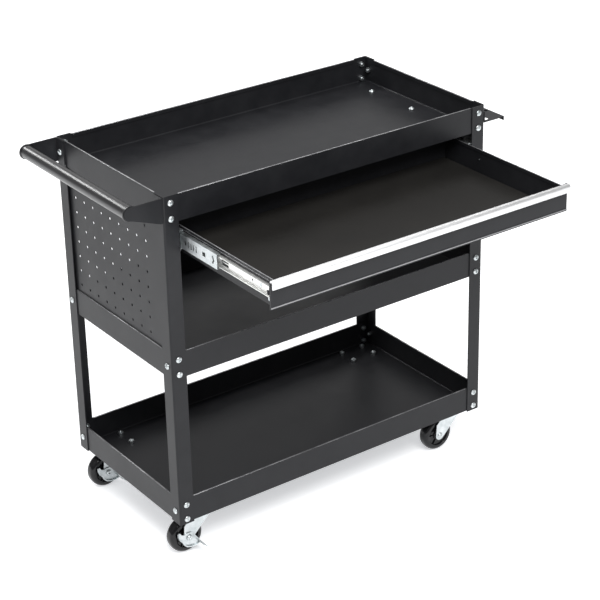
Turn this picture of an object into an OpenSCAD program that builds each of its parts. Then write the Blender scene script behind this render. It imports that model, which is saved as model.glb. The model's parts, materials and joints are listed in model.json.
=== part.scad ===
// Three-tier rolling tool cart with one drawer, pegboard sides, a side handle and a tool rack.
// Millimetres. +X runs along the length, -Y is the drawer side, +Z is up.
// The origin is on the floor, midway between the four corner posts.
// The drawer is modelled part way out; everything else stands as in use.

/* [Frame] */
// Length over the corner posts
cart_l = 720; // [640:10:900]
// Width over the corner posts
cart_w = 370; // [350:10:480]
// Height of the corner post tops above the floor
cart_h = 738; // [700:2:800]
// Width of each leg of the angle posts
post_leg = 30; // [26:1:36]
// Thickness of the angle posts
post_t = 2; // [1.5:0.25:3]
// Outer bend radius of the angle posts
post_bend = 3.5; // [2.5:0.5:5]

/* [Trays] */
// Height of each tray from its underside to its rim
tray_h = 51; // [46:1:60]
// Thickness of the tray sheet
tray_t = 1.5; // [1.2:0.1:2]
// Depth of the folded hem inside each rim
hem_h = 7; // [5:1:12]
// Height of the middle tray's underside above the floor
middle_z = 384; // [340:2:420]

/* [Side panels] */
// Thickness of the pegboard panels
panel_t = 1.2; // [1:0.1:2]
// Radius of the peg holes
peg_r = 2.6; // [2:0.1:3]
// Spacing of the peg hole columns
peg_pitch_y = 30.8; // [28:0.2:32]
// Spacing of the peg hole rows
peg_pitch_z = 29.8; // [28:0.2:30]

/* [Handle and rack] */
// Radius of the push handle's tube
handle_r = 12.5; // [10:0.5:14]
// Distance of the tube's axis from the posts
handle_reach = 64; // [55:1:80]
// Width of the tool rack's shelf
rack_w = 50; // [44:1:60]
// Radius of the large rack holes
rack_hole_large = 8; // [6:0.5:9]
// Radius of the small rack holes
rack_hole_small = 4.5; // [3:0.5:5]

/* [Drawer] */
// Width of the drawer front
front_l = 652; // [640:2:654]
// Depth of the drawer box
drawer_d = 330; // [300:5:335]
// How far the drawer stands open
drawer_open = 265; // [0:5:290]
// Length of the drawer slides
slide_l = 300; // [280:5:300]

/* [Casters] */
// Radius of the caster wheels
wheel_r = 35; // [30:1:35]
// Width of the caster wheels
wheel_w = 24; // [20:1:24]
// Height of a caster, from the floor to its top plate
caster_h = 83; // [83:1:90]
// Distance of a wheel's axle behind its swivel axis
trail = 27; // [24:1:30]

/* [Hidden] */
$fn = 64;

// Heights of the trays' undersides and of the posts' lower ends
bottom_z = caster_h;
top_z = cart_h - 1 - tray_h;
post_z = caster_h - 2;
tray_zs = [bottom_z, middle_z, top_z];

half_l = cart_l / 2;
half_w = cart_w / 2;
tray_x = half_l - post_t;
tray_y = half_w - post_t;

// M6 fasteners: shank, clearance hole, domed head and hexagon nut
m6_r = 3;
m6_hole = 3.25;
m6_head_r = 6;
m6_head_h = 3.4;
m6_nut_r = 5.8;
m6_nut_h = 5;
m6_end = 2;
// Small slide screws
m3_r = 1.6;
m3_hole = 1.7;
m3_head_r = 3;
m3_head_h = 0.5;

// Places of the frame's screws, from a post's corner and from a tray's underside
screw_in = 15;
screw_low = 8.5;
screw_high = 38.5;
screw_side = 24;
corners = [[-1, -1], [1, -1], [-1, 1], [1, 1]];

// Pegboard panels
panel_x = tray_x - tray_t - hem_t();
panel_half = half_w - 5;
panel_z0 = middle_z + tray_t;
panel_flange = 38;
peg_cols = 9;
peg_rows = 8;
peg_y0 = -110.9;
peg_z0 = middle_z + 67.6;
panel_screw_gap = half_l - panel_x + panel_t;

// Handle brackets and tool rack
plate_t = 1.5;
handle_x = -half_l - handle_reach;
handle_z = cart_h - 1 - handle_r;
bracket_low = cart_h - 48;
bracket_y = half_w - 0.5;
rack_z = cart_h - 35;
rack_up = 20;
rack_lip = 8;
rack_pitch = 31;
large_n = 12;
small_n = 10;
rack_x_large = 12;
rack_x_small = 42.5;
hang_z = cart_h - 26;

// Drawer slides: sections measured from the cabinet side, u from 0 to slide_w
slide_w = 12;
slide_t = 1.2;
slide_z = cart_h - 89;
slide_back = 329.5;
outer_h = 35;
outer_w = 9;
middle_h = 28;
middle_u = 2;
middle_w = 8.2;
middle_l = slide_l - 10;
inner_h = 20;
inner_u = 5;
outer_y0 = -half_w + 3;
inner_y0 = outer_y0 + 1 - drawer_open;
middle_y0 = outer_y0 + 18 - drawer_open / 2;
ball_r = 1.25;
ball_z = middle_h / 2 - slide_t - ball_r - 0.05;
ball_u = 7.5;
ball_pitch = 12;
ball_n = 12;
ball_strip_y = 20;
cabinet_screws = [40, 150, 250];
rail_screws = [31, 223];

// Slide brackets under the top tray
hanger_t = 1.5;
hanger_y0 = -160;
hanger_l = 300;
hanger_flange = 14;
hanger_bolt_x = 323.3;
hanger_bolts = [-138.4, -10.4, 117.6];
hanger_top = top_z - panel_t;

// Drawer
sheet_t = 1.2;
box_x = slide_back - slide_w;
box_z = cart_h - 117.5;
box_h = 49;
front_t = 1.6;
front_y = -half_w - 2.4 - drawer_open;
box_y = front_y + front_t;
front_z = box_z - 2;
front_h = 54;
pull_d = 8;
pull_h = 15;
pull_t = 2;
pull_r = 1.5;
pull_over = 1;
trim_h = 3.5;
trim_t = 1.2;
mat_t = 1.5;
side_screw_y = 15;
side_screw_z = 10;

// Casters
caster_x = 304;
caster_y = 147;
plate_l = 72;
plate_w = 58;
plate_h = 2.5;
plate_r = 6;
bolt_dx = 27;
bolt_dy = 20.5;
race_r = 19;
race_h = 1.4;
bearing_r = 14;
caster_ball_r = 2.2;
caster_ball_n = 12;
ball_top = caster_h - plate_h - race_h - 0.05;
crown_z = ball_top - 2 * caster_ball_r - 0.4;
crown_t = 2;
crown_r = 20;
pin_r = 4.5;
pin_hole = 4.58;
pin_head_r = 8;
pin_head_h = 3.5;
fork_in = wheel_w / 2 + 2;
fork_t = 2;
fork_end_r = 10;
axle_r = 3;
axle_hole = 3.08;
bush_r = 6;
bush_gap = 0.4;
hub_r = 12;
tread_edge = 8;
lever_gap = 0.4;
lever_t = 1.5;
lever_in = fork_in + fork_t + lever_gap;
pedal_slope = 41;
pedal_l = 12;
pedal_out = 26;
rim_out = 3;

powder_black = "#26272a";
gloss_black = "#151517";
zinc = "#c9ccd0";
aluminium = "#dfe1e4";
mat_black = "#1c1b1a";
wheel_black = "#18181a";

// ---- helpers ------------------------------------------------------------

// The hem is one more thickness of the tray sheet
function hem_t() = tray_t;

// Height of the screw in a post's side leg; the top tray's also holds the handle or rack
function side_z(z) = z == top_z ? hang_z : z + screw_side;

// 1 where a side is positive, so that mirror() leaves the negative side alone
function flip(side) = side > 0 ? 1 : 0;

// Places a shape drawn at the left side, with mirror images for the right
module on_side(side) {
    mirror([flip(side), 0, 0]) children();
}

// Places a shape drawn from a post's outer corner, +x and +y running inwards
module at_corner(c) {
    translate([c[0] * half_l, c[1] * half_w, 0])
        mirror([flip(c[0]), 0, 0])
            mirror([0, flip(c[1]), 0])
                children();
}

// Turns a +Z shape to run along +Y or +X
module along_y() {
    rotate([-90, 0, 0]) children();
}

module along_x() {
    rotate([0, 90, 0]) children();
}

// Domed screw: head below z = 0, shank of the given length above it
module pan_screw(length) {
    dome = (m6_head_r * m6_head_r + m6_head_h * m6_head_h) / (2 * m6_head_h);
    intersection() {
        translate([0, 0, dome - m6_head_h]) sphere(dome);
        translate([0, 0, -m6_head_h]) cylinder(r = m6_head_r, h = m6_head_h);
    }
    cylinder(r = m6_r, h = length);
}

module hex_nut() {
    difference() {
        cylinder(r = m6_nut_r, h = m6_nut_h, $fn = 6);
        translate([0, 0, -1]) cylinder(r = m6_r + 0.05, h = m6_nut_h + 2);
    }
}

// Flat-headed slide screw: head below z = 0
module small_screw(length) {
    translate([0, 0, -m3_head_h]) cylinder(r = m3_head_r, h = m3_head_h);
    cylinder(r = m3_r, h = length);
}

// Open channel: web on the v axis, flanges along +u, optional lips turned inwards
module channel(w, h, t, lip) {
    difference() {
        translate([0, -h / 2]) square([w, h]);
        translate([t, -h / 2 + t]) square([w, h - 2 * t]);
    }
    if (lip > 0) {
        for (s = [-1, 1]) translate([w - t, s * (h / 2 - lip / 2) - lip / 2]) square([t, lip]);
    }
}

// Extrudes a section drawn in u (inwards) and z along +Y, from y0
module rail(y0, length) {
    translate([-slide_back, y0 + length, slide_z])
        rotate([90, 0, 0])
            linear_extrude(length) children();
}

// Holes through the frame at one corner, drawn from the corner
module corner_holes(r) {
    for (z = tray_zs) {
        for (dz = [screw_low, screw_high]) {
            translate([screw_in, -5, z + dz]) along_y() cylinder(r = r, h = 20);
        }
        translate([-5, screw_in, side_z(z)]) along_x() cylinder(r = r, h = 20);
    }
}

// ---- frame --------------------------------------------------------------

module post(c) {
    color(powder_black)
    at_corner(c)
    difference() {
        translate([0, 0, post_z]) linear_extrude(cart_h - post_z) difference() {
            union() {
                translate([post_bend, 0]) square([post_leg - post_bend, post_leg]);
                translate([0, post_bend]) square([post_leg, post_leg - post_bend]);
                translate([post_bend, post_bend]) circle(post_bend);
            }
            translate([post_t, post_t]) square(post_leg);
        }
        corner_holes(m6_hole);
    }
}

module tray(z) {
    hem_x = half_l - post_leg - 3;
    hem_y = half_w - post_leg - 3;
    in_x = tray_x - tray_t;
    in_y = tray_y - tray_t;
    difference() {
        union() {
            difference() {
                translate([-tray_x, -tray_y, z]) cube([2 * tray_x, 2 * tray_y, tray_h]);
                translate([-in_x, -in_y, z + tray_t]) cube([2 * in_x, 2 * in_y, tray_h]);
            }
            for (s = [-1, 1]) {
                translate([-hem_x, s * (in_y - hem_t() / 2) - hem_t() / 2, z + tray_h - hem_h])
                    cube([2 * hem_x, hem_t(), hem_h]);
                translate([s * (in_x - hem_t() / 2) - hem_t() / 2, -hem_y, z + tray_h - hem_h])
                    cube([hem_t(), 2 * hem_y, hem_h]);
            }
        }
        for (c = corners) at_corner(c) corner_holes(m6_hole);
    }
}

module tray_top() {
    color(powder_black)
    difference() {
        tray(top_z);
        for (s = [-1, 1], y = hanger_bolts)
            translate([s * hanger_bolt_x, y, top_z - 1]) cylinder(r = m6_hole, h = 4);
    }
}

module tray_middle() {
    color(powder_black) tray(middle_z);
}

module tray_bottom() {
    color(powder_black)
    difference() {
        tray(bottom_z);
        for (c = corners) at_caster(c) plate_holes();
    }
}

// Perforated side panel, folded in under the top tray
module side_panel(side) {
    color(powder_black)
    on_side(side)
    difference() {
        union() {
            translate([-panel_x, -panel_half, panel_z0])
                cube([panel_t, 2 * panel_half, top_z - panel_z0]);
            translate([-panel_x, -panel_half, hanger_top])
                cube([panel_flange, 2 * panel_half, panel_t]);
        }
        for (i = [0 : peg_cols - 1], k = [0 : peg_rows - 1])
            translate([-panel_x - 1, peg_y0 + i * peg_pitch_y, peg_z0 + k * peg_pitch_z])
                along_x() cylinder(r = peg_r, h = panel_t + 2, $fn = 24);
        for (s = [-1, 1])
            translate([-panel_x - 1, s * (half_w - screw_in), middle_z + screw_side])
                along_x() cylinder(r = m6_hole, h = panel_t + 2);
        for (y = hanger_bolts)
            translate([-hanger_bolt_x, y, hanger_top - 1]) cylinder(r = m6_hole, h = 4);
    }
}

// Frame screws: two on each post's front or rear leg and one on its side leg, at each tray
module frame_screws() {
    color(zinc)
    for (c = corners) at_corner(c) for (z = tray_zs) {
        stack = post_t + tray_t;
        for (dz = [screw_low, screw_high])
            translate([screw_in, 0, z + dz]) along_y() pan_screw(stack + m6_nut_h + m6_end);
        out = z == top_z ? plate_t : 0;
        extra = z == middle_z ? panel_screw_gap - stack : 0;
        translate([-out, screw_in, side_z(z)])
            along_x() pan_screw(out + stack + extra + m6_nut_h + m6_end);
    }
}

module frame_nuts() {
    color(zinc)
    for (c = corners) at_corner(c) for (z = tray_zs) {
        stack = post_t + tray_t;
        for (dz = [screw_low, screw_high])
            translate([screw_in, stack, z + dz]) along_y() hex_nut();
        inner = z == middle_z ? panel_screw_gap : stack;
        translate([inner, screw_in, side_z(z)]) along_x() hex_nut();
    }
}

// ---- handle and rack ----------------------------------------------------

module handle_tube() {
    color(gloss_black)
    translate([handle_x, -bracket_y + plate_t, handle_z]) along_y() difference() {
        cylinder(r = handle_r, h = 2 * (bracket_y - plate_t));
        translate([0, 0, -1]) cylinder(r = handle_r - plate_t, h = 2 * bracket_y);
    }
}

// Bracket plate outline, x outwards from the post and y up
module bracket_outline() {
    top = cart_h - 1;
    polygon([
        [0, bracket_low], [5, bracket_low], [handle_reach, handle_z - handle_r],
        [handle_reach, top], [0, top]
    ]);
    translate([handle_reach, handle_z]) circle(handle_r);
}

module handle_bracket(side) {
    flange = post_leg - 2;
    color(powder_black)
    mirror([0, flip(side), 0])
    translate([-half_l, 0, 0])
    difference() {
        union() {
            translate([0, -bracket_y, 0]) rotate([90, 0, 180]) linear_extrude(plate_t) bracket_outline();
            translate([-plate_t, -bracket_y, bracket_low]) cube([plate_t, flange, cart_h - 1 - bracket_low]);
        }
        translate([-5, -half_w + screw_in, hang_z]) along_x() cylinder(r = m6_hole, h = 10);
    }
}

module tool_rack() {
    color(powder_black)
    translate([half_l, 0, 0])
    difference() {
        union() {
            translate([0, -half_w, rack_z - plate_t]) cube([rack_w, cart_w, plate_t]);
            translate([0, -half_w, rack_z - plate_t]) cube([plate_t, cart_w, rack_up + plate_t]);
            translate([rack_w - plate_t, -half_w, rack_z - rack_lip]) cube([plate_t, cart_w, rack_lip]);
        }
        for (i = [0 : large_n - 1])
            translate([rack_x_large, (i - (large_n - 1) / 2) * rack_pitch, rack_z - 3])
                cylinder(r = rack_hole_large, h = 5);
        for (i = [0 : small_n - 1])
            translate([rack_x_small, (i - (small_n - 1) / 2) * rack_pitch, rack_z - 3])
                cylinder(r = rack_hole_small, h = 5);
        for (s = [-1, 1])
            translate([-1, s * (half_w - screw_in), hang_z]) along_x() cylinder(r = m6_hole, h = 5);
    }
}

// ---- drawer slides ------------------------------------------------------

module slide_bracket(side) {
    leg_h = hanger_top - slide_z + outer_h / 2;
    color(powder_black)
    on_side(side)
    difference() {
        union() {
            translate([-slide_back - hanger_t, hanger_y0, hanger_top - leg_h])
                cube([hanger_t, hanger_l, leg_h]);
            translate([-slide_back - hanger_t, hanger_y0, hanger_top - hanger_t])
                cube([hanger_flange, hanger_l, hanger_t]);
        }
        for (y = hanger_bolts)
            translate([-hanger_bolt_x, y, hanger_top - 3]) cylinder(r = m6_hole, h = 5);
        for (d = cabinet_screws)
            translate([-slide_back - 3, outer_y0 + d, slide_z]) along_x() cylinder(r = m3_hole, h = 5);
    }
}

module slide_bracket_bolts() {
    color(zinc)
    for (s = [-1, 1], y = hanger_bolts)
        translate([s * hanger_bolt_x, y, top_z + tray_t]) rotate([180, 0, 0])
            pan_screw(tray_t + panel_t + hanger_t + m6_nut_h + m6_end);
}

module slide_bracket_nuts() {
    color(zinc)
    for (s = [-1, 1], y = hanger_bolts)
        translate([s * hanger_bolt_x, y, hanger_top - hanger_t - m6_nut_h]) hex_nut();
}

module slide_outer(side) {
    color(zinc)
    on_side(side)
    difference() {
        rail(outer_y0, slide_l) channel(outer_w, outer_h, slide_t, 2.8);
        for (d = cabinet_screws)
            translate([-slide_back - 1, outer_y0 + d, slide_z]) along_x() cylinder(r = m3_hole, h = 4);
    }
}

module slide_screws() {
    color(zinc)
    for (s = [-1, 1]) on_side(s) for (d = cabinet_screws)
        translate([-slide_back + slide_t, outer_y0 + d, slide_z]) rotate([0, -90, 0])
            small_screw(slide_t + hanger_t + 1);
}

// Middle member, with its stop slots and access hole near the front end
module slide_middle(side) {
    color(zinc)
    on_side(side)
    difference() {
        rail(middle_y0, middle_l) translate([middle_u, 0]) channel(middle_w, middle_h, slide_t, 0);
        translate([-slide_back, middle_y0 + 35, slide_z - 4]) cube([5, 10, 8]);
        for (s = [-1, 1])
            translate([-slide_back, middle_y0 + 10, slide_z]) rotate([-s * 25, 0, 0])
                translate([0, -2, s > 0 ? -1 : -8]) cube([5, 4, 9]);
        for (i = [0 : 3])
            translate([-slide_back, middle_y0 + 62 + 8 * i, slide_z - 6]) cube([5, 3, 12]);
        translate([-slide_back, middle_y0 + 98, slide_z]) along_x() cylinder(r = 3.5, h = 5);
    }
}

// Ball strips between the middle and inner members
module slide_balls(side) {
    color(zinc)
    on_side(side)
    for (s = [-1, 1]) {
        length = (ball_n - 1) * ball_pitch;
        translate([-slide_back + ball_u, middle_y0 + ball_strip_y, slide_z + s * ball_z]) {
            for (i = [0 : ball_n - 1]) translate([0, i * ball_pitch, 0]) sphere(ball_r, $fn = 24);
            translate([-0.6, -2, -0.3]) cube([1.2, length + 4, 0.6]);
        }
    }
}

// Inner member on the drawer's side, with its latch window
module slide_inner(side) {
    color(zinc)
    on_side(side)
    difference() {
        rail(inner_y0, slide_l)
            translate([slide_w, 0]) mirror([1, 0]) channel(slide_w - inner_u, inner_h, slide_t, 0);
        for (d = rail_screws)
            translate([-box_x - 3, inner_y0 + d, slide_z]) along_x() cylinder(r = m3_hole, h = 5);
        translate([-box_x - 3, inner_y0 + 56, slide_z]) along_x() cylinder(r = 2, h = 5);
        translate([-box_x - 3, inner_y0 + 2, slide_z - 4]) cube([5, 7, 8]);
        for (z = [-6, 1]) translate([-box_x - 3, inner_y0 + 127, slide_z + z]) cube([5, 21, 5]);
    }
}

// ---- drawer -------------------------------------------------------------

module drawer_box() {
    in_x = box_x - sheet_t;
    in_l = drawer_d - 2 * sheet_t;
    color(powder_black)
    difference() {
        union() {
            difference() {
                translate([-box_x, box_y, box_z]) cube([2 * box_x, drawer_d, box_h]);
                translate([-in_x, box_y + sheet_t, box_z + sheet_t]) cube([2 * in_x, in_l, box_h]);
            }
            for (s = [-1, 1])
                translate([s * (in_x - sheet_t / 2) - sheet_t / 2, box_y + sheet_t, box_z + box_h - 6])
                    cube([sheet_t, in_l, 6]);
        }
        for (s = [-1, 1]) on_side(s) {
            for (d = rail_screws)
                translate([-box_x - 1, inner_y0 + d, slide_z]) along_x() cylinder(r = m3_hole, h = 5);
            translate([-box_x - 1, box_y + side_screw_y, box_z + side_screw_z])
                along_x() cylinder(r = m3_hole, h = 5);
        }
    }
}

module drawer_front() {
    return_d = 4;
    color(powder_black) {
        translate([-front_l / 2, front_y, front_z]) cube([front_l, front_t, front_h]);
        for (s = [-1, 1])
            translate([s * (front_l / 2 - 0.8) - 0.8, front_y, front_z]) cube([1.6, return_d, front_h]);
    }
}

// Channel-shaped pull, open downwards behind its front lip
module drawer_pull() {
    length = front_l + 2 * pull_over;
    color(aluminium)
    translate([-length / 2, front_y, front_z + front_h - pull_h]) rotate([90, 0, 90])
    linear_extrude(length) difference() {
        union() {
            translate([-pull_d, 0]) square([pull_d, pull_h - pull_r]);
            translate([-pull_d + pull_r, 0]) square([pull_d - pull_r, pull_h]);
            translate([-pull_d + pull_r, pull_h - pull_r]) circle(pull_r);
        }
        translate([-pull_d + pull_t, -1]) square([pull_d - 2 * pull_t, pull_h + 1 - pull_t]);
    }
}

module drawer_trim() {
    color(aluminium)
    translate([-front_l / 2, front_y - trim_t, front_z + 1]) cube([front_l, trim_t, trim_h]);
}

module drawer_mat() {
    color(mat_black)
    translate([-box_x + 3.5, box_y + 2.5, box_z + sheet_t])
        cube([2 * box_x - 7, drawer_d - 5, mat_t]);
}

module drawer_screws() {
    color(zinc)
    for (s = [-1, 1]) on_side(s) {
        for (d = rail_screws)
            translate([-box_x - slide_t, inner_y0 + d, slide_z]) along_x()
                small_screw(slide_t + sheet_t + 1.5);
        translate([-box_x, box_y + side_screw_y, box_z + side_screw_z]) along_x()
            small_screw(sheet_t + 1.5);
    }
}

// ---- casters ------------------------------------------------------------

module at_caster(c) {
    translate([c[0] * caster_x, c[1] * caster_y, 0]) children();
}

// Places a shape drawn at a wheel's axle
module at_axle(c) {
    at_caster(c) translate([-trail, 0, wheel_r]) children();
}

module plate_holes() {
    for (sx = [-1, 1], sy = [-1, 1])
        translate([sx * bolt_dx, sy * bolt_dy, caster_h - 10]) cylinder(r = m6_hole, h = 20);
}

// Top plate with its upper ball race
module caster_plate(c) {
    low = caster_h - plate_h;
    color(zinc)
    at_caster(c)
    difference() {
        union() {
            translate([0, 0, low]) linear_extrude(plate_h) {
                square([plate_l - 2 * plate_r, plate_w], center = true);
                square([plate_l, plate_w - 2 * plate_r], center = true);
                for (sx = [-1, 1], sy = [-1, 1])
                    translate([sx * (plate_l / 2 - plate_r), sy * (plate_w / 2 - plate_r)])
                        circle(plate_r);
            }
            translate([0, 0, low - race_h]) difference() {
                cylinder(r = race_r, h = race_h + 0.5);
                translate([0, 0, -1]) cylinder(r = pin_head_r + 1, h = race_h + 1);
            }
        }
        plate_holes();
    }
}

module caster_bolts() {
    color(zinc)
    for (c = corners) at_caster(c) for (sx = [-1, 1], sy = [-1, 1])
        translate([sx * bolt_dx, sy * bolt_dy, caster_h - plate_h])
            pan_screw(plate_h + tray_t + m6_nut_h + m6_end);
}

module caster_nuts() {
    color(zinc)
    for (c = corners) at_caster(c) for (sx = [-1, 1], sy = [-1, 1])
        translate([sx * bolt_dx, sy * bolt_dy, caster_h + tray_t]) hex_nut();
}

module caster_kingpins() {
    pin_low = crown_z - crown_t - 0.3;
    color(zinc)
    for (c = corners) at_caster(c) {
        translate([0, 0, pin_low]) cylinder(r = pin_r, h = caster_h - plate_h - pin_low);
        translate([0, 0, pin_low - pin_head_h]) cylinder(r = pin_head_r, h = pin_head_h);
    }
}

module caster_balls() {
    color(zinc)
    for (c = corners) at_caster(c) for (i = [0 : caster_ball_n - 1])
        rotate(i * 360 / caster_ball_n) translate([bearing_r, 0, ball_top - caster_ball_r])
            sphere(caster_ball_r, $fn = 24);
}

// Side view of a fork leg: wide under the crown, tapering to a round end at the axle
module fork_leg() {
    top = crown_z;
    front = [23, top - 4];
    back = [-trail - fork_end_r, wheel_r];
    to_axle = [-trail - front[0], wheel_r - front[1]];
    reach = norm(to_axle);
    swing = atan2(to_axle[1], to_axle[0]) + asin(fork_end_r / reach);
    tangent = front + sqrt(reach * reach - fork_end_r * fork_end_r) * [cos(swing), sin(swing)];
    polygon([
        [-trail, wheel_r], back, [back[0] + 2, 60], [-20, top], [20, top], front, tangent
    ]);
    translate([-trail, wheel_r]) circle(fork_end_r);
}

module fork(c) {
    color(zinc)
    at_caster(c)
    difference() {
        union() {
            for (y = [-fork_in, fork_in + fork_t])
                translate([0, y, 0]) rotate([90, 0, 0]) linear_extrude(fork_t) fork_leg();
            translate([0, 0, crown_z - crown_t]) intersection() {
                cylinder(r = crown_r + 6, h = crown_t);
                translate([-crown_r, -fork_in - fork_t, 0])
                    cube([2 * crown_r, 2 * (fork_in + fork_t), crown_t]);
            }
        }
        translate([0, 0, crown_z - 5]) cylinder(r = pin_hole, h = 10);
        translate([-trail, -30, wheel_r]) along_y() cylinder(r = axle_r + 0.1, h = 60);
    }
}

// Axle bolt with a hexagon head and a nut; it reaches past the brake lever on braked casters
module axle(c) {
    braked = c[0] < 0;
    seat = braked ? lever_in + lever_t + lever_gap : fork_in + fork_t;
    color(zinc)
    at_axle(c) {
        translate([0, -seat - 1, 0]) along_y() cylinder(r = axle_r, h = 2 * seat + 6);
        translate([0, -seat - 3.5, 0]) along_y() cylinder(r = 5.5, h = 3.5, $fn = 6);
        translate([0, seat, 0]) along_y() cylinder(r = 5.5, h = 4, $fn = 6);
    }
}

// Moulded wheel with rounded tread edges and a dished web
module wheel(c) {
    half = wheel_w / 2;
    dish = 4;
    color(wheel_black)
    at_axle(c) rotate([90, 0, 0]) rotate_extrude() difference() {
        union() {
            translate([bush_r, -half]) square([wheel_r - tread_edge - bush_r, wheel_w]);
            translate([bush_r, -half + tread_edge])
                square([wheel_r - bush_r, wheel_w - 2 * tread_edge]);
            for (s = [-1, 1])
                translate([wheel_r - tread_edge, s * (half - tread_edge)]) circle(tread_edge);
        }
        for (s = [-1, 1])
            translate([hub_r, s * half - dish / 2]) square([wheel_r - 2 * tread_edge - hub_r, dish]);
    }
}

module bush(c) {
    length = 2 * (fork_in - bush_gap);
    color(zinc)
    at_axle(c) translate([0, -length / 2, 0]) along_y() difference() {
        cylinder(r = bush_r, h = length);
        translate([0, 0, -1]) cylinder(r = axle_hole, h = length + 2);
    }
}

// Lower edge of the brake lever about the axle, from its rear tip round to the pedal
lever_low = [
    [-24, 15], [-24.5, 9], [-22.5, 2], [-17, -4], [-13, -12], [-7, -17.5], [2, -20.5],
    [13, -21], [20, -19.5], [24, -15]
];
// Upper edge, back from the pedal
lever_high = [
    [21, -10], [15, -2], [11, 5], [5, 10], [-5, 10], [-11, 8.5], [-16, 10], [-19.5, 16]
];

// Side lever of a brake: a pressed plate with a raised rim along its lower edge and a pedal
// folded out to the side
module brake_lever(c) {
    rim_in = [for (p = lever_low) p * (1 - 2.2 / norm(p))];
    color(zinc)
    at_axle(c)
    difference() {
        union() {
            translate([0, -lever_in, 0]) rotate([90, 0, 0]) linear_extrude(lever_t)
                polygon(concat(lever_low, lever_high));
            translate([0, -lever_in, 0]) rotate([90, 0, 0]) linear_extrude(lever_t + rim_out)
                polygon(concat(lever_low, [for (i = [len(rim_in) - 1 : -1 : 0]) rim_in[i]]));
            translate([15.4, -lever_in - pedal_out, -10]) rotate([0, pedal_slope, 0])
                cube([pedal_l, pedal_out, lever_t]);
        }
        translate([0, -30, 0]) along_y() cylinder(r = axle_hole, h = 60);
    }
}

// ---- assembly -----------------------------------------------------------

fl = corners[0];
fr = corners[1];
rl = corners[2];
rr = corners[3];

post(fl);  // post_front_left
post(fr);  // post_front_right
post(rl);  // post_rear_left
post(rr);  // post_rear_right
tray_top();
tray_middle();
tray_bottom();
side_panel(-1);  // side_panel_left
side_panel(1);  // side_panel_right
tool_rack();
handle_tube();
handle_bracket(-1);  // handle_bracket_front
handle_bracket(1);  // handle_bracket_rear
frame_screws();
frame_nuts();
slide_bracket(-1);  // slide_bracket_left
slide_bracket(1);  // slide_bracket_right
slide_bracket_bolts();
slide_bracket_nuts();
slide_outer(-1);  // slide_outer_left
slide_outer(1);  // slide_outer_right
slide_screws();
slide_middle(-1);  // slide_middle_left
slide_middle(1);  // slide_middle_right
slide_balls(-1);  // slide_balls_left
slide_balls(1);  // slide_balls_right
slide_inner(-1);  // slide_inner_left
slide_inner(1);  // slide_inner_right
drawer_box();
drawer_front();
drawer_pull();
drawer_trim();
drawer_mat();
drawer_screws();
caster_plate(fl);  // caster_plate_front_left
caster_plate(fr);  // caster_plate_front_right
caster_plate(rl);  // caster_plate_rear_left
caster_plate(rr);  // caster_plate_rear_right
caster_bolts();
caster_nuts();
caster_kingpins();
caster_balls();
fork(fl);  // fork_front_left
fork(fr);  // fork_front_right
fork(rl);  // fork_rear_left
fork(rr);  // fork_rear_right
axle(fl);  // axle_front_left
axle(fr);  // axle_front_right
axle(rl);  // axle_rear_left
axle(rr);  // axle_rear_right
wheel(fl);  // wheel_front_left
wheel(fr);  // wheel_front_right
wheel(rl);  // wheel_rear_left
wheel(rr);  // wheel_rear_right
bush(fl);  // bush_front_left
bush(fr);  // bush_front_right
bush(rl);  // bush_rear_left
bush(rr);  // bush_rear_right
brake_lever(fl);  // brake_lever_front_left
brake_lever(rl);  // brake_lever_rear_left
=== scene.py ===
"""Looks of the tool cart: materials, detailed hardware, casters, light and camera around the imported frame."""

import json
import math

import bmesh
import bpy
from mathutils import Matrix, Quaternion, Vector


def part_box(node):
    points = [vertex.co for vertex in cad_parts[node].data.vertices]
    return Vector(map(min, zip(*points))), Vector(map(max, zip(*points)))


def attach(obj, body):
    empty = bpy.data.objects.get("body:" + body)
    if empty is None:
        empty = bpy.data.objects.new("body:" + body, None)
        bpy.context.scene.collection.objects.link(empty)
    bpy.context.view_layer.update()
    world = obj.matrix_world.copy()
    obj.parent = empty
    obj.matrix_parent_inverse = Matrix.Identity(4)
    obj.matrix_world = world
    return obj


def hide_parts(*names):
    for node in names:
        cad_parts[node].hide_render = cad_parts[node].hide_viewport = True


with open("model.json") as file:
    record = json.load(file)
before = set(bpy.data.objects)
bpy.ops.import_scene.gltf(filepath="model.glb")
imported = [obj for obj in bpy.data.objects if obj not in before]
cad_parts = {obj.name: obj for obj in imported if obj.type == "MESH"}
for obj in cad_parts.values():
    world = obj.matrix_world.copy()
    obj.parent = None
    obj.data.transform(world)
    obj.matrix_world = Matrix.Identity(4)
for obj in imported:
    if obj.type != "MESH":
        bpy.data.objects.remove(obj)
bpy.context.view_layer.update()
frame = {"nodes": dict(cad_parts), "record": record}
nodes = frame["nodes"]

MM = 0.001
CORNERS = {
    "front_left": (-1, -1),
    "front_right": (1, -1),
    "rear_left": (-1, 1),
    "rear_right": (1, 1),
}
BRAKED = ("front_left", "rear_left")
FULL_TURN = 2 * math.pi


# ---- materials ----------------------------------------------------------


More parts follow.
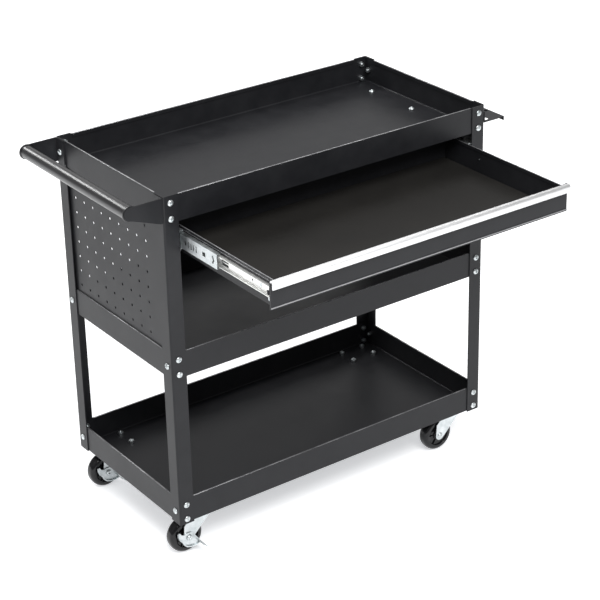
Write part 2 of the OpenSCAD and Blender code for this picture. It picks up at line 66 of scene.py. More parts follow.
class Shader:
    """A material built around one Principled shader, with short calls for the nodes that feed it."""

    def __init__(self, name, **values):
        self.material = bpy.data.materials.new(name)
        self.material.use_nodes = True
        self.tree = self.material.node_tree
        self.shader = self.tree.nodes["Principled BSDF"]
        self.place = self.node("ShaderNodeTexCoord").outputs["Object"]
        for key, value in values.items():
            self.shader.inputs[key.replace("_", " ")].default_value = value

    def node(self, kind, **settings):
        made = self.tree.nodes.new(kind)
        for key, value in settings.items():
            setattr(made, key, value)
        return made

    def link(self, source, target):
        self.tree.links.new(source, target)

    def stretched(self, scale):
        """Object coordinates scaled along each axis, for grain that runs one way."""
        mapping = self.node("ShaderNodeMapping")
        mapping.inputs["Scale"].default_value = scale
        self.link(self.place, mapping.inputs["Vector"])
        return mapping.outputs["Vector"]

    def noise(self, scale, detail=2.0, roughness=0.5, place=None):
        made = self.node("ShaderNodeTexNoise")
        made.inputs["Scale"].default_value = scale
        made.inputs["Detail"].default_value = detail
        made.inputs["Roughness"].default_value = roughness
        self.link(place or self.place, made.inputs["Vector"])
        return made.outputs["Fac"]

    def cells(self, scale):
        made = self.node("ShaderNodeTexVoronoi")
        made.inputs["Scale"].default_value = scale
        self.link(self.place, made.inputs["Vector"])
        return made.outputs["Distance"]

    def span(self, source, low, high, start=0.3, end=0.7):
        """Maps a pattern from start..end to low..high."""
        made = self.node("ShaderNodeMapRange")
        made.inputs["From Min"].default_value = start
        made.inputs["From Max"].default_value = end
        made.inputs["To Min"].default_value = low
        made.inputs["To Max"].default_value = high
        self.link(source, made.inputs["Value"])
        return made.outputs["Result"]

    def math(self, operation, first, second):
        made = self.node("ShaderNodeMath", operation=operation)
        for socket, value in zip(made.inputs, (first, second)):
            if isinstance(value, (int, float)):
                socket.default_value = value
            else:
                self.link(value, socket)
        return made.outputs["Value"]

    def colours(self, fac, dark, light, target="Base Color"):
        made = self.node("ShaderNodeMix", data_type="RGBA")
        made.inputs[6].default_value = (*dark, 1)
        made.inputs[7].default_value = (*light, 1)
        self.link(fac, made.inputs[0])
        self.link(made.outputs[2], self.shader.inputs[target])

    def roughness(self, source):
        self.link(source, self.shader.inputs["Roughness"])

    def bump(self, height, distance, strength=1.0):
        made = self.node("ShaderNodeBump")
        made.inputs["Distance"].default_value = distance
        made.inputs["Strength"].default_value = strength
        self.link(height, made.inputs["Height"])
        self.link(made.outputs["Normal"], self.shader.inputs["Normal"])


def powder_coat():
    """Satin black powder coat: fine orange peel, faint handling marks and dust."""
    m = Shader("powder_black", Specular_IOR_Level=0.25)
    peel = m.noise(900, 3, 0.6)
    speck = m.cells(1500)
    cloud = m.noise(7, 4, 0.55)
    smear = m.noise(28, 5, 0.65)
    tone = m.math("ADD", m.math("MULTIPLY", cloud, 0.6), m.math("MULTIPLY", smear, 0.4))
    m.colours(m.span(tone, 0, 1, 0.38, 0.62), (0.0128, 0.0132, 0.0152), (0.0178, 0.0182, 0.0205))
    m.roughness(m.span(tone, 0.36, 0.45, 0.35, 0.65))
    m.bump(m.math("ADD", peel, m.math("MULTIPLY", speck, 0.35)), 0.00006, 0.55)
    return m.material


def gloss_paint():
    """Half-gloss black paint, for the handle."""
    m = Shader("gloss_black", Specular_IOR_Level=0.95)
    m.colours(m.noise(22, 3), (0.009, 0.009, 0.010), (0.016, 0.016, 0.018))
    m.roughness(m.span(m.noise(9, 3), 0.27, 0.33))
    m.bump(m.noise(60, 2), 0.000003, 0.3)
    return m.material


def zinc_plate():
    """Bright zinc plate: faint drawing lines along Y and a cloudy tone."""
    m = Shader("zinc", Metallic=1.0)
    drawn = m.noise(60, 4, 0.7, m.stretched((30, 1, 30)))
    cloud = m.noise(45, 4, 0.6)
    m.colours(m.span(cloud, 0, 1), (0.47, 0.51, 0.52), (0.74, 0.77, 0.78))
    wear = m.math("ADD", m.math("MULTIPLY", drawn, 0.5), m.math("MULTIPLY", cloud, 0.5))
    m.roughness(m.span(wear, 0.28, 0.48))
    m.bump(drawn, 0.00003, 0.35)
    return m.material


def satin_aluminium():
    """Satin anodised aluminium, with its grain along the length."""
    m = Shader("aluminium", Metallic=1.0)
    grain = m.noise(50, 5, 0.7, m.stretched((1, 60, 60)))
    m.colours(m.span(grain, 0, 1), (0.74, 0.74, 0.75), (0.93, 0.93, 0.93))
    m.roughness(m.span(grain, 0.48, 0.60))
    m.bump(grain, 0.00003, 0.4)
    return m.material


def lit_zinc_copy():
    """Zinc of the drawer's own rails, painted near white: a lit copy of the zinc, painted light on these rails.
    """
    m = Shader("zinc_painted_lit", Metallic=1.0)
    drawn = m.noise(60, 4, 0.7, m.stretched((30, 1, 30)))
    m.colours(m.span(drawn, 0, 1), (0.86, 0.87, 0.86), (1.0, 1.0, 0.98))
    m.roughness(m.span(drawn, 0.40, 0.52))
    m.bump(drawn, 0.00003, 0.3)
    return m.material


def shaded_trim_copy():
    """Aluminium of the drawer's lower trim in a darker grey: a shaded copy of the aluminium, painted shade on
    the trim.
    """
    m = Shader("trim_painted_shade", Metallic=1.0)
    grain = m.noise(50, 5, 0.7, m.stretched((1, 60, 60)))
    m.colours(m.span(grain, 0, 1), (0.36, 0.36, 0.37), (0.50, 0.50, 0.51))
    m.roughness(m.span(grain, 0.34, 0.46))
    return m.material


def rim_highlight_paint():
    """Folded rims in a light grey, half metallic: a painted highlight along the rims."""
    m = Shader("rim_painted_highlight", Metallic=0.55)
    rim_sheen_noise = m.noise(35, 4, 0.6)
    m.colours(m.span(rim_sheen_noise, 0, 1), (0.16, 0.16, 0.17), (0.42, 0.42, 0.43))
    m.roughness(m.span(rim_sheen_noise, 0.26, 0.38))
    return m.material


def liner():
    """Matt black-brown liner with a fine moulded texture."""
    m = Shader("liner", Specular_IOR_Level=0.3)
    cloud = m.noise(6, 4, 0.6)
    grain = m.cells(650)
    m.colours(m.span(cloud, 0, 1), (0.0105, 0.0098, 0.0088), (0.0165, 0.0152, 0.0135))
    m.roughness(m.span(cloud, 0.62, 0.76))
    m.bump(m.math("ADD", grain, m.math("MULTIPLY", m.noise(1400, 2), 0.5)), 0.00012, 0.6)
    return m.material


def wheel_plastic():
    """Glossy black moulded plastic, with light scuffs."""
    m = Shader("wheel_black", Specular_IOR_Level=0.34)
    scuff = m.noise(130, 5, 0.7)
    m.colours(m.span(scuff, 0, 1, 0.45, 0.75), (0.005, 0.005, 0.006), (0.012, 0.012, 0.013))
    m.roughness(m.span(scuff, 0.10, 0.24, 0.4, 0.75))
    m.bump(m.noise(300, 3), 0.00004, 0.35)
    return m.material


MATERIALS = {
    "powder_black": powder_coat(),
    "gloss_black": gloss_paint(),
    "zinc": zinc_plate(),
    "aluminium": satin_aluminium(),
    "liner": liner(),
    "wheel_black": wheel_plastic(),
}
RIM_PAINTED_HIGHLIGHT = rim_highlight_paint()
LIT_ZINC_COPY = lit_zinc_copy()
SHADED_TRIM_COPY = shaded_trim_copy()
SLOT_OF = {row["node"]: row["material_slot"] for row in frame["record"]["subparts"]}


def paint(obj, slot_name):
    obj.data.materials.clear()
    obj.data.materials.append(MATERIALS[slot_name])


for name, obj in nodes.items():
    paint(obj, SLOT_OF[name])
# The drawer's own rails take the near-white copy of the zinc: painted light.
for side in ("left", "right"):
    nodes["slide_inner_" + side].data.materials[0] = LIT_ZINC_COPY


# ---- softened edges on the sheet metal ------------------------------------

BEVEL_FROM = math.radians(35)
POST_EDGE = 0.45 * MM
CASTER_PLATE_EDGE = 0.4 * MM
FORK_EDGE = 0.7 * MM
LEVER_EDGE = 0.6 * MM
KINGPIN_EDGE = 0.6 * MM
SLIDE_EDGE = 0.3 * MM


def soften(obj, width, segments=2):
    bevel = obj.modifiers.new("edge", "BEVEL")
    bevel.width = width
    bevel.segments = segments
    bevel.limit_method = "ANGLE"
    bevel.angle_limit = BEVEL_FROM
    bevel.use_clamp_overlap = True
    bevel.harden_normals = False


SHEET_EDGE = {
    "tray_top": 0.45, "tray_middle": 0.45, "tray_bottom": 0.45,
    "side_panel_left": 0.3, "side_panel_right": 0.3,
    "tool_rack": 0.4, "handle_bracket_front": 0.4, "handle_bracket_rear": 0.4,
    "slide_bracket_left": 0.3, "slide_bracket_right": 0.3,
    "drawer_box": 0.3, "drawer_front": 0.4, "drawer_mat": 0.4,
}
for name, width in SHEET_EDGE.items():
    soften(nodes[name], width * MM)
for corner in CORNERS:
    soften(nodes["post_" + corner], POST_EDGE)
    soften(nodes["caster_plate_" + corner], CASTER_PLATE_EDGE)


# ---- mesh helpers ---------------------------------------------------------


def finish_mesh(bm, name, body, slot_name, smooth=40):
    """Turns a bmesh into a piece painted with the slot's material, riding on a body."""
    bmesh.ops.remove_doubles(bm, verts=bm.verts, dist=1e-6)
    bmesh.ops.recalc_face_normals(bm, faces=bm.faces)
    mesh = bpy.data.meshes.new(name)
    bm.to_mesh(mesh)
    bm.free()
    obj = bpy.data.objects.new(name, mesh)
    bpy.context.scene.collection.objects.link(obj)
    for face in mesh.polygons:
        face.use_smooth = True
    mesh.set_sharp_from_angle(angle=math.radians(smooth))
    paint(obj, slot_name)
    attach(obj, body)
    return obj


def lathe(bm, profile, place, steps=32, closed=True):
    """Turns (radius, height) points about the local Z axis, then places them by a matrix."""
    rings = []
    for radius, height in profile:
        if radius < 1e-7:
            rings.append([bm.verts.new(place @ Vector((0, 0, height)))])
            continue
        ring = []
        for i in range(steps):
            a = FULL_TURN * i / steps
            ring.append(bm.verts.new(place @ Vector((radius * math.cos(a), radius * math.sin(a), height))))
        rings.append(ring)
    pairs = list(zip(rings, rings[1:]))
    if closed:
        pairs.append((rings[-1], rings[0]))
    for low, high in pairs:
        for i in range(steps):
            j = (i + 1) % steps
            corners = [low[i % len(low)], low[j % len(low)], high[j % len(high)], high[i % len(high)]]
            unique = list(dict.fromkeys(corners))
            if len(unique) > 2:
                bm.faces.new(unique)


def arc(cx, cy, radius, start, end, steps):
    """Points on an arc, angles in degrees, both ends included."""
    return [
        (cx + radius * math.cos(math.radians(start + (end - start) * i / steps)),
         cy + radius * math.sin(math.radians(start + (end - start) * i / steps)))
        for i in range(steps + 1)
    ]


def aim(at, direction):
    """A matrix that puts a local +Z shape at a point, along a direction."""
    turn = Vector(direction).to_track_quat("Z", "Y").to_matrix().to_4x4()
    return Matrix.Translation(Vector(at)) @ turn


def islands(obj):
    """The (lowest, highest) corners of each loose part of a CAD node's mesh."""
    bm = bmesh.new()
    bm.from_mesh(obj.data)
    bmesh.ops.remove_doubles(bm, verts=bm.verts, dist=1e-6)
    bm.verts.ensure_lookup_table()
    seen, found = set(), []
    for start in bm.verts:
        if start.index in seen:
            continue
        stack, members = [start], []
        seen.add(start.index)
        while stack:
            v = stack.pop()
            members.append(v.co.copy())
            for edge in v.link_edges:
                other = edge.other_vert(v)
                if other.index not in seen:
                    seen.add(other.index)
                    stack.append(other)
        low = Vector([min(p[i] for p in members) for i in range(3)])
        high = Vector([max(p[i] for p in members) for i in range(3)])
        found.append((low, high))
    bm.free()
    return sorted(found, key=lambda box: tuple(round(c, 5) for c in box[0]))


# ---- screws and nuts --------------------------------------------------------

HEAD_R = 6 * MM
HEAD_H = 3.4 * MM
SHANK_R = 3 * MM
SHANK_CHAMFER = 0.5 * MM
RECESS_R = 2.1 * MM
RECESS_DEEP = HEAD_H * 0.55
NUT_R = 5.8 * MM
NUT_H = 5 * MM
NUT_HOLE_R = SHANK_R + 0.05 * MM
NUT_CHAMFER = 0.35 * MM


def domed_screw(bm, base, direction, length):
    """Domed screw: base is under the head and direction runs along the shank."""
    dome = [
        (HEAD_R * math.cos(t), -HEAD_H * (0.22 + 0.78 * math.sin(t)))
        for t in (math.radians(a) for a in (0, 14, 28, 42, 56))
        if HEAD_R * math.cos(t) > RECESS_R * 1.25
    ]
    rim = [(HEAD_R * 0.97, 0), (HEAD_R, -HEAD_H * 0.10)] + dome
    top = -HEAD_H * 0.99
    bottom = top + RECESS_DEEP
    recess = [(RECESS_R * 1.15, top), (RECESS_R, top + 0.12 * HEAD_H), (RECESS_R * 0.9, bottom), (0, bottom)]
    thread = [(SHANK_R, 0), (SHANK_R, length - SHANK_CHAMFER), (SHANK_R - SHANK_CHAMFER, length), (0, length)]
    profile = list(reversed(recess)) + list(reversed(rim)) + thread
    lathe(bm, profile, aim(base, direction), steps=28, closed=False)


def hexagon_nut(bm, seat, direction):
    """Hexagon nut with chamfered corners, standing on its seat."""
    steps = 48
    place = aim(seat, direction)
    flat = NUT_R * math.cos(math.pi / 6)

    def hexagon(a, limit):
        wedge = (a + math.pi / 6) % (math.pi / 3) - math.pi / 6
        return min(flat / math.cos(wedge), limit)

    levels = [
        (0, NUT_R * 0.93), (NUT_CHAMFER, NUT_R), (NUT_H - 0.55 * MM, NUT_R), (NUT_H, NUT_R * 0.90),
    ]
    rings = []
    for z, limit in levels:
        rings.append([
            bm.verts.new(place @ Vector((
                hexagon(FULL_TURN * i / steps, limit) * math.cos(FULL_TURN * i / steps),
                hexagon(FULL_TURN * i / steps, limit) * math.sin(FULL_TURN * i / steps), z)))
            for i in range(steps)
        ])
    for radius, z in ((NUT_HOLE_R + NUT_CHAMFER, NUT_H), (NUT_HOLE_R, NUT_H - NUT_CHAMFER), (NUT_HOLE_R, 0)):
        rings.append([
            bm.verts.new(place @ Vector((
                radius * math.cos(FULL_TURN * i / steps), radius * math.sin(FULL_TURN * i / steps), z)))
            for i in range(steps)
        ])
    for low, high in zip(rings, rings[1:] + rings[:1]):
        for i in range(steps):
            j = (i + 1) % steps
            bm.faces.new((low[i], low[j], high[j], high[i]))


def screws_from(node, body, inward):
    """Replaces a CAD node of screws; inward(centre, low, high) gives the shank's direction."""
    bm = bmesh.new()
    for low, high in islands(nodes[node]):
        centre = (low + high) / 2
        axis = inward(centre, low, high)
        index = max(range(3), key=lambda i: abs(axis[i]))
        base = centre.copy()
        if axis[index] > 0:
            base[index] = low[index] + HEAD_H
            length = high[index] - base[index]
        else:
            base[index] = high[index] - HEAD_H
            length = base[index] - low[index]
        domed_screw(bm, base, axis, length)
    made = finish_mesh(bm, node + "_detailed", body, "zinc")
    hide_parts(node)


def frame_screw_way(centre, low, high):
    """A screw in a front or rear leg runs along Y and one in a side leg along X."""
    size = high - low
    if size[1] > size[0]:
        return (0, -1 if centre[1] > 0 else 1, 0)
    return (-1 if centre[0] > 0 else 1, 0, 0)


screws_from("frame_screws", "frame", frame_screw_way)
screws_from("slide_bracket_bolts", "frame", lambda c, lo, hi: (0, 0, -1))
screws_from("caster_bolts", "frame", lambda c, lo, hi: (0, 0, 1))


def nuts_from(node, body, way):
    """Replaces a CAD node of nuts; way(low, high) gives the direction away from the seat."""
    bm = bmesh.new()
    for low, high in islands(nodes[node]):
        centre = (low + high) / 2
        axis = way(low, high)
        index = max(range(3), key=lambda i: abs(axis[i]))
        seat = centre.copy()
        seat[index] = low[index] if axis[index] > 0 else high[index]
        hexagon_nut(bm, seat, axis)
    made = finish_mesh(bm, node + "_detailed", body, "zinc")
    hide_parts(node)


def frame_nut_way(low, high):
    """A nut's thin direction is its axis, pointing inwards."""
    size = high - low
    centre = (low + high) / 2
    if size[1] < size[0]:
        return (0, -1 if centre[1] > 0 else 1, 0)
    return (-1 if centre[0] > 0 else 1, 0, 0)


nuts_from("frame_nuts", "frame", frame_nut_way)
nuts_from("slide_bracket_nuts", "frame", lambda lo, hi: (0, 0, -1))
nuts_from("caster_nuts", "frame", lambda lo, hi: (0, 0, 1))


# ---- folded rims -------------------------------------------------------------

TRAY_T = 1.5 * MM
POST_LEG = 30 * MM
DRAWER_T = 1.2 * MM
FOLD_ARCS = 8
TRAY_FOLD_RISE = 0.9 * MM
DRAWER_FOLD_RISE = 0.7 * MM
DRAWER_BACK_RISE = 0.5 * MM
DRAWER_BACK_INSET = 3 * MM
SIDE_BEAD_LOW = 5.2 * MM
SIDE_BEAD_R = 0.45 * MM
BEND_R = 2.4 * MM


def fold(bm, start, end, radius, rise):
    """Half-round fold along a straight edge: radius across it and rise above it, with closed ends."""
    start, end = Vector(start), Vector(end)
    along = (end - start).normalized()
    across = along.cross(Vector((0, 0, 1)))
    rings = []
    for at, inset in ((start, 0.75), (start + along * radius, 0), (end - along * radius, 0), (end, 0.75)):
        width = radius * (1 - inset)
        ring = []
        for i in range(FOLD_ARCS + 1):
            a = math.pi * i / FOLD_ARCS
            low = Vector((0, 0, rise * (math.sin(a) * (1 - inset)) - 0.3 * MM))
            ring.append(bm.verts.new(at + across * width * math.cos(a) + low))
        rings.append(ring)
    for one, two in zip(rings, rings[1:]):
        for i in range(FOLD_ARCS):
            bm.faces.new((one[i], one[i + 1], two[i + 1], two[i]))
        bm.faces.new((one[FOLD_ARCS], one[0], two[0], two[FOLD_ARCS]))
    bm.faces.new(rings[0])
    bm.faces.new(list(reversed(rings[-1])))


for name in ("tray_top", "tray_middle", "tray_bottom"):
    low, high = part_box(name)
    bm = bmesh.new()
    end_x = high[0] - POST_LEG
    end_y = high[1] - POST_LEG
    for sign in (-1, 1):
        y = sign * (high[1] - TRAY_T)
        x = sign * (high[0] - TRAY_T)
        fold(bm, (-end_x, y, high[2]), (end_x, y, high[2]), TRAY_T, TRAY_FOLD_RISE)
        fold(bm, (x, -end_y, high[2]), (x, end_y, high[2]), TRAY_T, TRAY_FOLD_RISE)
    folds = finish_mesh(bm, name + "_rim_folds", "frame", "powder_black")
    # The tray's rim folds take the light grey material: a painted highlight along its rims.
    folds.data.materials[0] = RIM_PAINTED_HIGHLIGHT

low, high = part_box("drawer_box")
bm = bmesh.new()
front_y, back_y, bead_z = low[1] + DRAWER_T, high[1] - DRAWER_T, high[2] - SIDE_BEAD_LOW
for sign in (-1, 1):
    x = sign * (high[0] - DRAWER_T)
    fold(bm, (x, front_y, high[2]), (x, back_y, high[2]), DRAWER_T, DRAWER_FOLD_RISE)
    side = sign * high[0]
    fold(bm, (side, front_y, bead_z), (side, back_y, bead_z), SIDE_BEAD_R, TRAY_FOLD_RISE)
mid_y = high[1] - DRAWER_T / 2
fold(bm, (low[0] + DRAWER_BACK_INSET, mid_y, high[2]), (high[0] - DRAWER_BACK_INSET, mid_y, high[2]),
     DRAWER_T / 2, DRAWER_BACK_RISE)
folds = finish_mesh(bm, "drawer_rim_folds", "drawer", "powder_black")
# The drawer's rim folds and side beads take the light grey material: a painted highlight along them.
folds.data.materials[0] = RIM_PAINTED_HIGHLIGHT


def bend(bm, start, end, inward, radius):
    """Concave bend where a tray's floor turns up into a wall; inward points to the tray's middle."""
    start, end, inward = Vector(start), Vector(end), Vector(inward)
    section = [Vector((0, 0, 0))]
    for a in (math.radians(degrees) for degrees in range(0, 91, 15)):
        rise = Vector((0, 0, radius - radius * math.cos(a)))
        section.append(inward * (radius - radius * math.sin(a)) + rise)
    rings = [[bm.verts.new(at + p) for p in section] for at in (start, end)]
    count = len(section)
    for i in range(count):
        j = (i + 1) % count
        bm.faces.new((rings[0][i], rings[0][j], rings[1][j], rings[1][i]))
    bm.faces.new(rings[0])
    bm.faces.new(list(reversed(rings[1])))


for name in ("tray_top", "tray_middle", "tray_bottom"):
    low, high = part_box(name)
    bm = bmesh.new()
    x, y, z = high[0] - TRAY_T, high[1] - TRAY_T, low[2] + TRAY_T
    for sign in (-1, 1):
        bend(bm, (-x, sign * y, z), (x, sign * y, z), (0, -sign, 0), BEND_R)
        bend(bm, (sign * x, -y, z), (sign * x, y, z), (-sign, 0, 0), BEND_R)
    finish_mesh(bm, name + "_floor_bends", "frame", "powder_black")


# ---- pull and trim of the drawer ----------------------------------------------

PULL_WALL = 1.8 * MM
PULL_NOSE_INSET = 2.5 * MM
PULL_END_ROUND = 0.5 * MM
TRIM_END_ROUND = 0.3 * MM


def bar_along_x(name, body, slot_name, outline, at, half_length, end_round):
    """Bar with a (depth, height) outline, extruded along X, its end rings drawn in a little."""
    bm = bmesh.new()
    middle = Vector((0, sum(p[0] for p in outline) / len(outline), sum(p[1] for p in outline) / len(outline)))
    rings = []
    for x, shrink in ((-1, 1), (-1, 0), (1, 0), (1, 1)):
        inset = end_round * (1 - shrink)
        ring = []
        for y, z in outline:
            p = Vector((0, y, z))
            if shrink:
                p += (middle - p).normalized() * end_round * 0.5
            ring.append(bm.verts.new(Vector(at) + p + Vector((x * (half_length - inset), 0, 0))))
        rings.append(ring)
    count = len(outline)
    for one, two in zip(rings, rings[1:]):
        for i in range(count):
            j = (i + 1) % count
            bm.faces.new((one[i], one[j], two[j], two[i]))
    bm.faces.new(rings[0])
    bm.faces.new(list(reversed(rings[-1])))
    return finish_mesh(bm, name, body, slot_name, 50)


low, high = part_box("drawer_pull")
deep, tall = high[1] - low[1], high[2] - low[2]
inner_y, inner_z = -deep + PULL_WALL, tall - PULL_WALL
hook_z = tall - 2 * PULL_WALL
pull_outline = [(0, tall), (0, hook_z), (-PULL_WALL, hook_z), (-PULL_WALL, inner_z)]
pull_outline += [(inner_y + 2 * MM, inner_z), (inner_y + 0.5 * MM, inner_z - 1.5 * MM), (inner_y, 0.4 * MM)]
pull_outline += [(-deep + PULL_WALL * 0.6, 0), (-deep + PULL_WALL * 0.25, 0.15 * MM), (-deep, 0.8 * MM)]
nose = min(deep, tall) - PULL_NOSE_INSET
pull_outline += arc(-deep + nose, tall - nose, nose, 180, 90, 14)
corner_at = (0, high[1], low[2])
pull = bar_along_x(
    "drawer_pull_moulded", "drawer", "aluminium", pull_outline, corner_at, high[0], PULL_END_ROUND)
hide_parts("drawer_pull")

low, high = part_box("drawer_trim")
deep, tall = high[1] - low[1], high[2] - low[2]
trim_outline = [(0, tall), (0, tall * 0.42), (-deep * 0.75, tall * 0.42), (-deep * 0.9, tall * 0.52),
                (-deep * 0.94, tall * 0.68), (-deep * 0.86, tall * 0.86), (-deep * 0.6, tall)]
corner_at = (0, high[1], low[2])
trim = bar_along_x(
    "drawer_trim_bead", "drawer", "aluminium", trim_outline, corner_at, high[0], TRIM_END_ROUND)
# The lower trim takes the darker copy of the aluminium: painted shade.
trim.data.materials[0] = SHADED_TRIM_COPY
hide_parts("drawer_trim")
lip_outline = [(0, tall * 0.4), (0, 0), (-deep * 0.8, 0), (-deep, tall * 0.12), (-deep, tall * 0.3),
               (-deep * 0.9, tall * 0.4)]
bar_along_x("drawer_trim_lip", "drawer", "powder_black", lip_outline, corner_at, high[0], TRIM_END_ROUND)


# ---- casters ---------------------------------------------------------------

WHEEL_R = 35 * MM
WHEEL_W = 24 * MM
BUSH_R = 6 * MM
WHEEL_SHOULDER = 8 * MM
WHEEL_HUB_R = 11.5 * MM
WHEEL_RIM_R = WHEEL_R - 11.5 * MM
WHEEL_DISH = 4.5 * MM
WHEEL_CROWN = 0.35 * MM
RIBS = 6
RIB_SIZE = (12.4 * MM, 1.3 * MM, 3.0 * MM)
RIB_R = 17.5 * MM
RIB_OUT = 8.6 * MM
RIVET_R = 6 * MM
RIVET_SEAT_OUTER = 3.5 * MM
RIVET_SEAT_INNER = 5 * MM
RIVET_TALL_OUTER = 3.3 * MM
RIVET_TALL_INNER = 3.8 * MM
PIN_R = 3 * MM
PIN_START = 3.6 * MM
PIN_SHORTER = 8.7 * MM


def wheel_profile():
    """Half-section of a moulded wheel: crowned tread, rounded shoulders, dished web and hub ring."""
    half = WHEEL_W / 2
    web = half - WHEEL_DISH
    side = [
        (BUSH_R, half - 0.6 * MM), (BUSH_R + 0.6 * MM, half),
        (WHEEL_HUB_R - 0.8 * MM, half), (WHEEL_HUB_R, half - 0.8 * MM),
        (WHEEL_HUB_R + 0.7 * MM, web + 0.5 * MM), (WHEEL_HUB_R + 1.6 * MM, web),
        (WHEEL_RIM_R - 1.6 * MM, web), (WHEEL_RIM_R - 0.6 * MM, web + 0.5 * MM),
        (WHEEL_RIM_R, half - 1.2 * MM), (WHEEL_RIM_R + 0.7 * MM, half - 0.5 * MM),
    ]
    round_over = arc(
        WHEEL_R - WHEEL_CROWN - WHEEL_SHOULDER, half - WHEEL_SHOULDER, WHEEL_SHOULDER, 78, 0, 9)
    seam = [(WHEEL_R, 1.2 * MM), (WHEEL_R - 0.18 * MM, 0)]
    top = side + round_over + seam
    return top + [(r, -z) for r, z in reversed(top[:-1])]


for corner in CORNERS:
    low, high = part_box("wheel_" + corner)
    centre = (Vector(low) + Vector(high)) / 2
    bm = bmesh.new()
    lathe(bm, wheel_profile(), aim(centre, (0, 1, 0)), steps=96)
    # Mould ribs in the web, so that the wheel's turn shows
    for side in (-1, 1):
        for i in range(RIBS):
            a = FULL_TURN * i / RIBS
            rib = bmesh.ops.create_cube(bm, size=1)["verts"]
            size = Matrix.Diagonal((*RIB_SIZE, 1))
            out = Matrix.Translation((RIB_R, 0, side * RIB_OUT))
            place = aim(centre, (0, 1, 0)) @ Matrix.Rotation(a, 4, "Z") @ out @ size
            bmesh.ops.transform(bm, matrix=place, verts=rib)
    wheel = finish_mesh(bm, "wheel_moulded_" + corner, "roller_" + corner, "wheel_black", 32)
    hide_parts("wheel_" + corner)


def rivet_head(bm, seat, way, height):
    """Domed rivet head with a dimple, its flat side on the seat; way points outwards along Y."""
    dimple = 0.42 * RIVET_R
    profile = [(0, height * 0.35), (dimple * 0.7, height * 0.42), (dimple, height * 0.78)]
    profile += [(dimple * 1.2, height * 0.96), (RIVET_R * 0.62, height), (RIVET_R * 0.82, height * 0.8)]
    profile += [(RIVET_R * 0.96, height * 0.42), (RIVET_R, height * 0.12), (RIVET_R * 0.98, 0), (0, 0)]
    lathe(bm, profile, aim(seat, (0, way, 0)), steps=40, closed=False)


for corner in CORNERS:
    soften(nodes["fork_" + corner], FORK_EDGE, 3)
    low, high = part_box("axle_" + corner)
    mid = (Vector(low) + Vector(high)) / 2
    bm = bmesh.new()
    rivet_head(bm, (mid[0], low[1] + RIVET_SEAT_OUTER, mid[2]), -1, RIVET_TALL_OUTER)
    rivet_head(bm, (mid[0], high[1] - RIVET_SEAT_INNER, mid[2]), 1, RIVET_TALL_INNER)
    pin_l = high[1] - low[1] - PIN_SHORTER
    pin = [(0, 0), (PIN_R, 0), (PIN_R, pin_l), (0, pin_l)]
    lathe(bm, pin, aim((mid[0], low[1] + PIN_START, mid[2]), (0, 1, 0)), steps=32, closed=False)
    axle = finish_mesh(bm, "axle_riveted_" + corner, "swivel_" + corner, "zinc")
    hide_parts("axle_" + corner)
for corner in BRAKED:
    soften(nodes["brake_lever_" + corner], LEVER_EDGE, 3)
soften(nodes["caster_kingpins"], KINGPIN_EDGE, 3)


# ---- drawer slides -----------------------------------------------------------

HOLE_SHADE_SIZE = (2.4 * MM, 5 * MM, 8 * MM)
HOLE_SHADE_PROUD = 0.6 * MM
HOLE_SHADE_FROM_END = 4 * MM
HOLE_SHADE_LOW = 2 * MM
HOLE_SHADE_EDGE = 0.4 * MM

for name in ("slide_outer", "slide_middle", "slide_inner"):
    for side in ("left", "right"):
        soften(nodes[f"{name}_{side}"], SLIDE_EDGE)

# Black blocks at the front ends of the drawer's rails: painted shade standing in for a hole there
for side, sign in (("left", -1), ("right", 1)):
    low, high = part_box("slide_inner_" + side)
    face = low[0] if sign < 0 else high[0]
    hole_shade = bmesh.new()
    block = bmesh.ops.create_cube(hole_shade, size=1)["verts"]
    size = Matrix.Diagonal((*HOLE_SHADE_SIZE, 1))
    mid_z = (low[2] + high[2]) / 2
    at = Matrix.Translation((face - sign * HOLE_SHADE_PROUD, low[1] + HOLE_SHADE_FROM_END, mid_z - HOLE_SHADE_LOW))
    bmesh.ops.transform(hole_shade, matrix=at @ size, verts=block)
    bmesh.ops.bevel(hole_shade, geom=list(hole_shade.edges), offset=HOLE_SHADE_EDGE, segments=2, affect="EDGES")
    finish_mesh(hole_shade, "rail_end_hole_shade_" + side, "drawer", "wheel_black")


# ---- ends of the handle --------------------------------------------------------

COLLAR_IN = 12.6 * MM
COLLAR_R = 14.4 * MM
COLLAR_ROUND = 0.4 * MM

low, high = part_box("handle_tube")
middle = (Vector(low) + Vector(high)) / 2
bm = bmesh.new()
for end, way in ((low[1], 1), (high[1], -1)):
    collar = [(COLLAR_IN, 0.3 * MM), (COLLAR_R - COLLAR_ROUND, 0.3 * MM), (COLLAR_R, 0.7 * MM),
              (COLLAR_R, 2.4 * MM), (COLLAR_R - COLLAR_ROUND, 3.0 * MM), (COLLAR_IN, 3.2 * MM)]
    lathe(bm, collar, aim((middle[0], end, middle[2]), (0, way, 0)), steps=64)
finish_mesh(bm, "handle_collars", "frame", "gloss_black")


# ---- stage, light and camera ---------------------------------------------------

FLOOR_HALF = 14
WORLD_STRENGTH = 0.3
SENSOR_MM = 36
# Name, place, aimed at, size and power of each lamp
LAMPS = (
    ("left", (-3.0, 0.9, 2.2), (-0.3, 0.4, 0.1), (2.4, 2.2), 4),
    ("over", (-0.3, 1.9, 3.6), (0.1, 0.9, 0.0), (3.2, 2.6), 34),
    ("front", (-0.9, -2.6, 3.6), (0.1, -0.5, 0.0), (2.6, 2.0), 165),
    ("streak", (-0.85, 3.0, 2.8), (-0.4, 0.0, 0.7), (1.2, 0.5), 27),
    ("rim strip", (2.0, 0.9, 3.7), (0.0, 0.0, 0.6), (0.4, 2.4), 25),
    ("rear right", (2.3, 3.3, 2.2), (0.0, 0.0, 0.4), (2.4, 1.4), 6.5),
)
CAMERA_AT = Vector((-1.873, -2.724, 1.990))
CAMERA_AZIMUTH = math.radians(-35.286)
CAMERA_ELEVATION = math.radians(24.395)
CAMERA_ROLL = math.radians(-1.339)
CAMERA_FOCAL_MM = 113.23
CAMERA_SHIFT_Y = -0.1

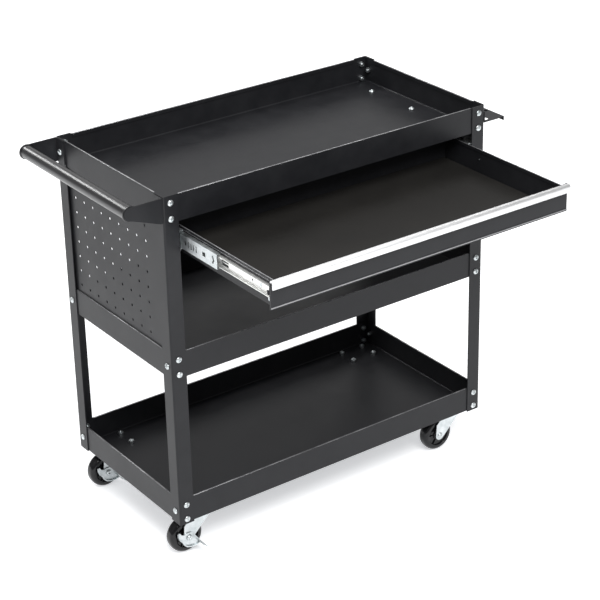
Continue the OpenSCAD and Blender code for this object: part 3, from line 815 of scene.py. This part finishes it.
back = Vector((
    math.sin(CAMERA_AZIMUTH) * math.cos(CAMERA_ELEVATION),
    -math.cos(CAMERA_AZIMUTH) * math.cos(CAMERA_ELEVATION),
    math.sin(CAMERA_ELEVATION),
))


def add_floor():
    bm = bmesh.new()
    bmesh.ops.create_grid(bm, x_segments=1, y_segments=1, size=FLOOR_HALF)
    mesh = bpy.data.meshes.new("floor")
    bm.to_mesh(mesh)
    bm.free()
    floor = bpy.data.objects.new("floor", mesh)
    bpy.context.scene.collection.objects.link(floor)
    m = Shader("floor_pale", Roughness=0.9, Specular_IOR_Level=0.1, Emission_Strength=0.55)
    m.shader.inputs["Base Color"].default_value = (0.92, 0.92, 0.92, 1)
    m.shader.inputs["Emission Color"].default_value = (0.96, 0.975, 1.0, 1)
    mesh.materials.append(m.material)


def add_light(name, at, look, size, energy):
    light = bpy.data.lights.new(name, "AREA")
    light.shape = "RECTANGLE"
    light.size, light.size_y = size
    light.energy = energy
    lamp = bpy.data.objects.new(name, light)
    bpy.context.scene.collection.objects.link(lamp)
    lamp.location = at
    lamp.rotation_mode = "QUATERNION"
    lamp.rotation_quaternion = (Vector(look) - Vector(at)).to_track_quat("-Z", "Y")


add_floor()
world = bpy.data.worlds.new("studio")
world.use_nodes = True
world.node_tree.nodes["Background"].inputs["Color"].default_value = (1, 1, 1, 1)
world.node_tree.nodes["Background"].inputs["Strength"].default_value = WORLD_STRENGTH
bpy.context.scene.world = world
for lamp_setting in LAMPS:
    add_light(*lamp_setting)
bpy.context.scene.view_settings.view_transform = "Standard"

camera_data = bpy.data.cameras.new("camera")
camera_data.lens = CAMERA_FOCAL_MM
camera_data.sensor_width = SENSOR_MM
camera_data.shift_y = CAMERA_SHIFT_Y
camera = bpy.data.objects.new("camera", camera_data)
bpy.context.scene.collection.objects.link(camera)
camera.location = CAMERA_AT
camera.rotation_mode = "QUATERNION"
camera.rotation_quaternion = (-back).to_track_quat("-Z", "Y") @ Quaternion((0, 0, 1), CAMERA_ROLL)
bpy.context.scene.camera = camera
